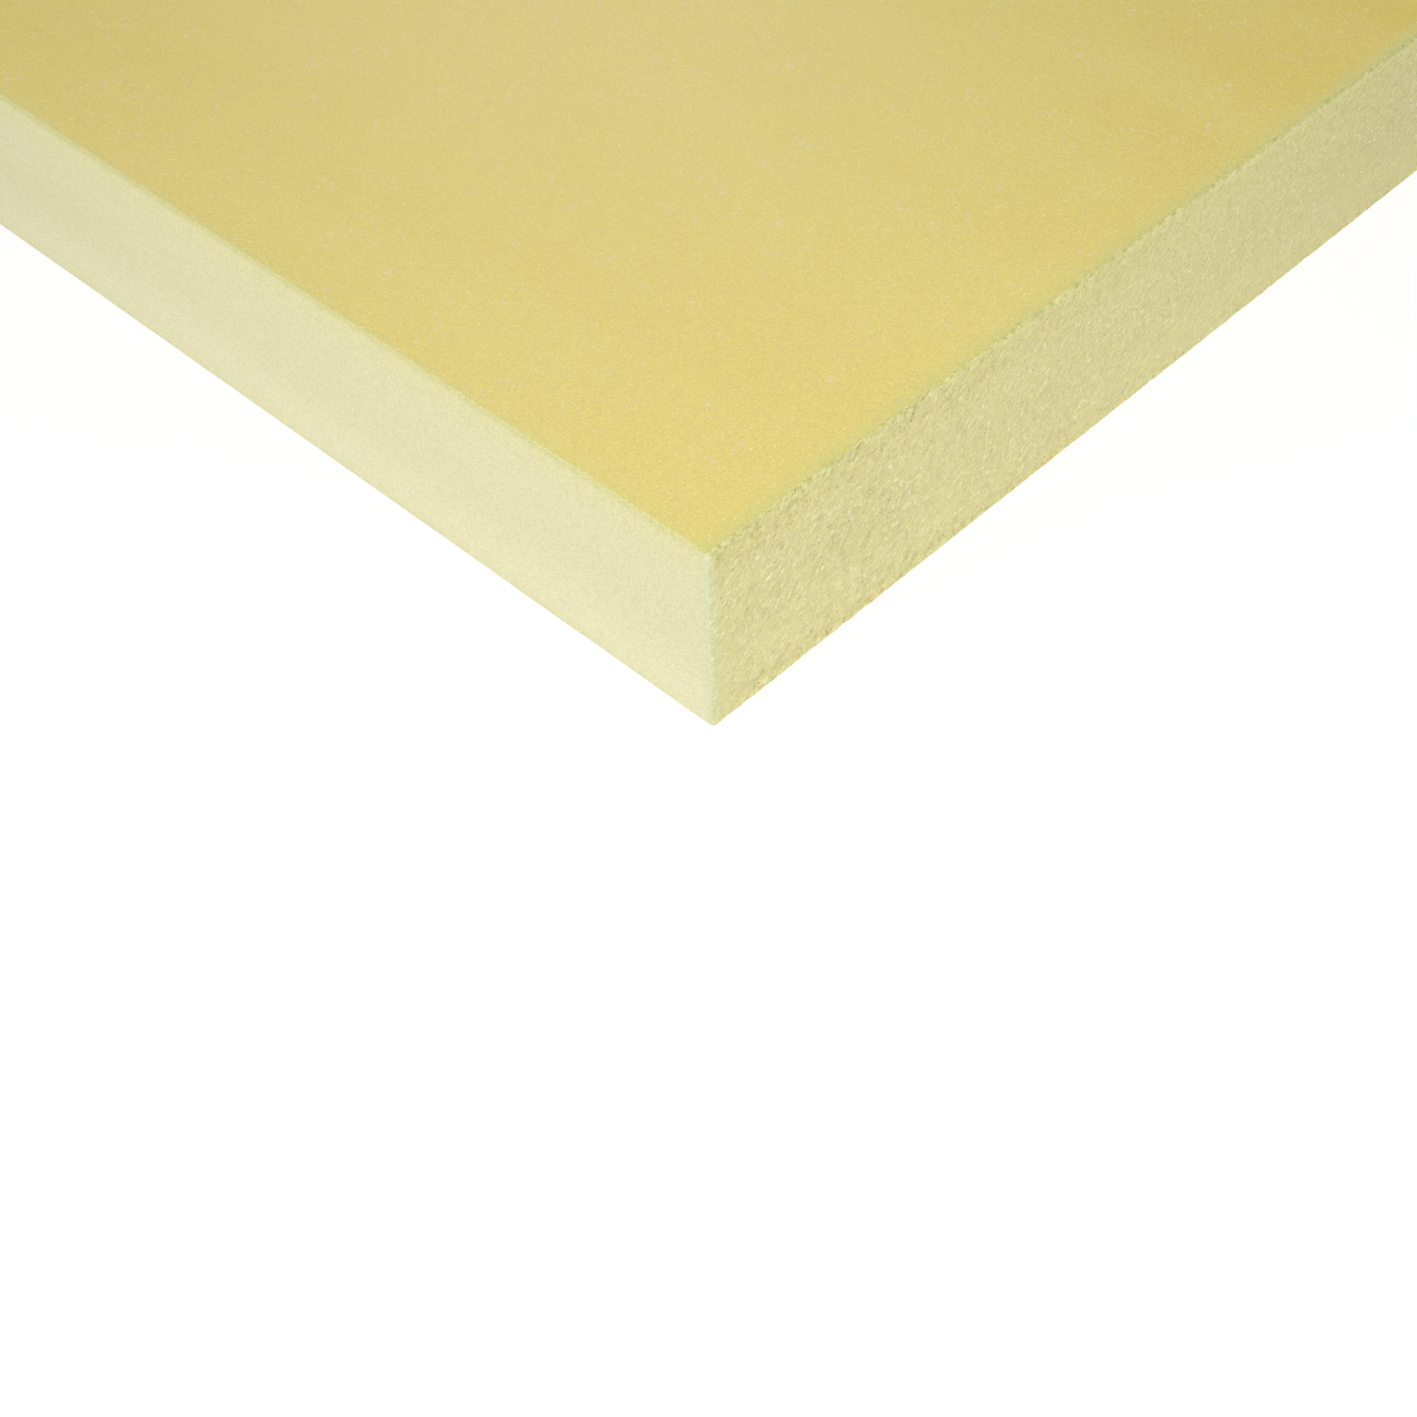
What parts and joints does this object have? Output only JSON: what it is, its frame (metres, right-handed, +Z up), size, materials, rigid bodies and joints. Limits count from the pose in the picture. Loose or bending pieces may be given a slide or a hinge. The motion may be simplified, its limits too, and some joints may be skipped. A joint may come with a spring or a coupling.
{
  "type": "extruded polystyrene board",
  "caption": "Flat rectangular insulation board of yellow extruded foam, with smooth skins on both faces, milled long sides, sawn ends and square butt edges.",
  "frame": {"origin": "middle of the underside, on the surface that the board lies on", "axes": "+X along the board's length, the direction of extrusion; +Y across its width; +Z up through its thickness"},
  "size_m": [1.25, 0.6, 0.05],
  "materials": {
    "foam": "matte"
  },
  "bodies": {
    "root": {"board": "foam"}
  },
  "joints": []
}
